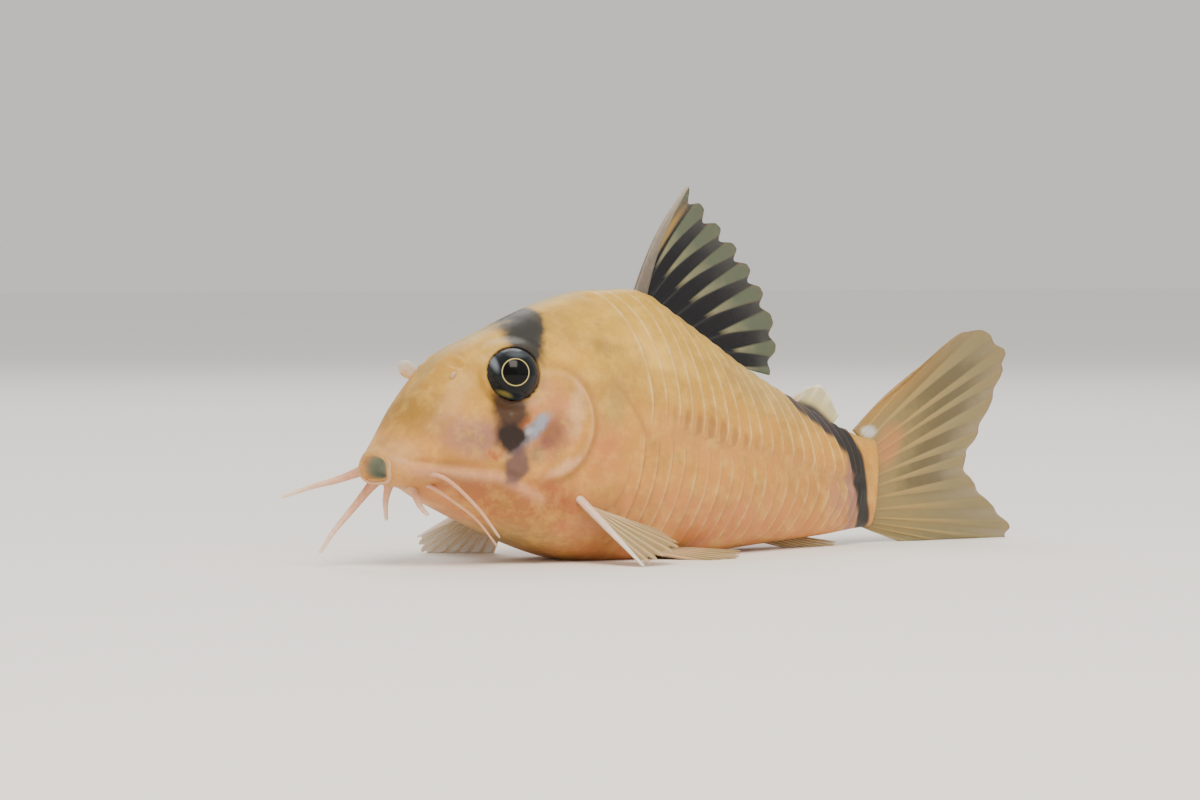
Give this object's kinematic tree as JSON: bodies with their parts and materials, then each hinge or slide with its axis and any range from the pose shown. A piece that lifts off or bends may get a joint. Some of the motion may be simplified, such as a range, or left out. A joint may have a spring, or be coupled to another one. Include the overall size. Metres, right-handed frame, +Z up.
{
  "type": "corydoras catfish model",
  "caption": "Life-size still model of a small armoured corydoras catfish resting on its belly, with fins, barbels and banded markings.",
  "frame": {"origin": "on the floor under the middle of the model's outline", "axes": "head towards -X, tail towards +X, the fish's left side towards -Y, +Z up from the floor it rests on"},
  "size_m": [0.0624, 0.0216, 0.0261],
  "materials": {
    "scuted_skin": "wet skin over bony plates, tan with black bands",
    "clear_fin": "thin translucent fin membrane over fine rays",
    "dark_fin": "black fin membrane between clear rays",
    "barbel_skin": "soft translucent pink skin",
    "eye": "clear wet cornea over a dark iris with a gold ring"
  },
  "bodies": {
    "root": {"adipose_fin": "clear_fin", "anal_fin": "clear_fin", "barbel_chin_left": "barbel_skin", "barbel_chin_right": "barbel_skin", "barbel_left_lower": "barbel_skin", "barbel_left_upper": "barbel_skin", "barbel_right_lower": "barbel_skin", "barbel_right_upper": "barbel_skin", "caudal_fin": "clear_fin", "dorsal_fin": "dark_fin", "eye_left": "eye", "eye_right": "eye", "head": "scuted_skin", "nostril_flap_left": "barbel_skin", "nostril_flap_right": "barbel_skin", "pectoral_fin_left": "clear_fin", "pectoral_fin_right": "clear_fin", "pelvic_fin_left": "clear_fin", "pelvic_fin_right": "clear_fin", "tail_root": "scuted_skin", "trunk": "scuted_skin"}
  },
  "joints": []
}
